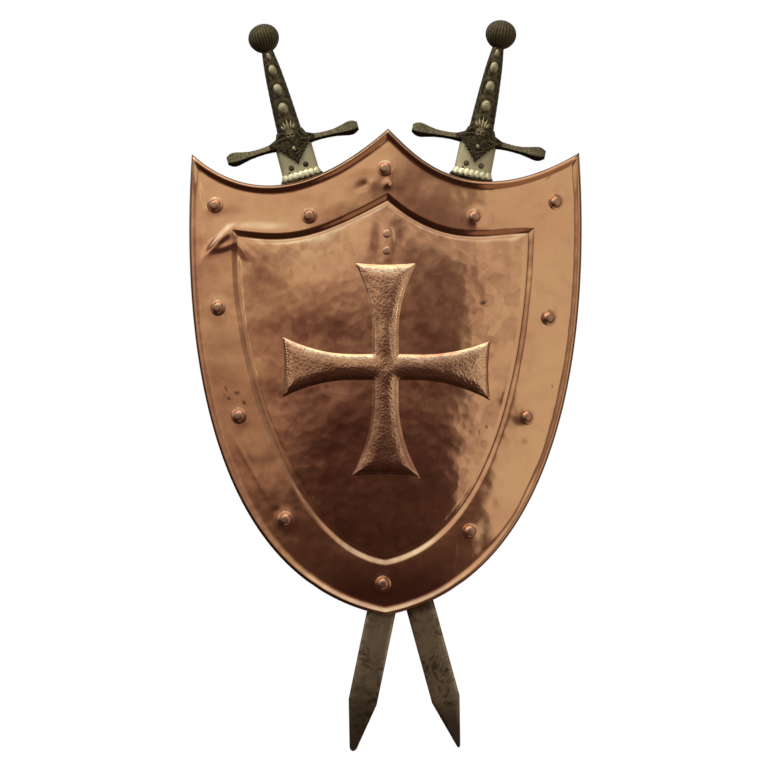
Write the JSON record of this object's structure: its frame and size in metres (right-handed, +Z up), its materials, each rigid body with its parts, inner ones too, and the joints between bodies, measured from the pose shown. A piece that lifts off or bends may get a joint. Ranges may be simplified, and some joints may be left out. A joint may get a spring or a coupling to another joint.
{
  "type": "copper wall shield",
  "caption": "Decorative copper wall shield with a raised cross and riveted border, over two small crossed swords with brass hilts, hung on a wall by a strap behind it.",
  "frame": {"origin": "middle of the hanger's flat back, on the wall plane, behind the two flush rivets above the cross", "axes": "+Z up the shield, -Y out of the wall towards the viewer, +X to the viewer's right"},
  "size_m": [0.3548, 0.0448, 0.6577],
  "materials": {
    "copper_sheet": "beaten copper sheet, polished, with brown tarnish",
    "copper_rivets": "copper, polished and rubbed",
    "copper_straps": "dull copper strip",
    "antique_brass": "cast brass, antiqued dark with rubbed high spots",
    "pale_brass": "cast brass, dull",
    "dark_blades": "bronzed metal, brushed, mottled"
  },
  "bodies": {
    "root": {"shield": "copper_sheet", "border_rivet_1": "copper_rivets", "border_rivet_2": "copper_rivets", "border_rivet_3": "copper_rivets", "border_rivet_4": "copper_rivets", "border_rivet_5": "copper_rivets", "border_rivet_6": "copper_rivets", "border_rivet_7": "copper_rivets", "border_rivet_8": "copper_rivets", "border_rivet_9": "copper_rivets", "border_rivet_10": "copper_rivets", "border_rivet_11": "copper_rivets", "border_rivet_12": "copper_rivets", "hanger_rivet_upper": "copper_rivets", "hanger_rivet_lower": "copper_rivets", "hanger": "copper_straps", "left_keeper": "copper_straps", "right_keeper": "copper_straps", "left_hilt": "antique_brass", "right_hilt": "antique_brass", "left_collar": "pale_brass", "right_collar": "pale_brass", "left_blade": "dark_blades", "right_blade": "dark_blades"}
  },
  "joints": []
}
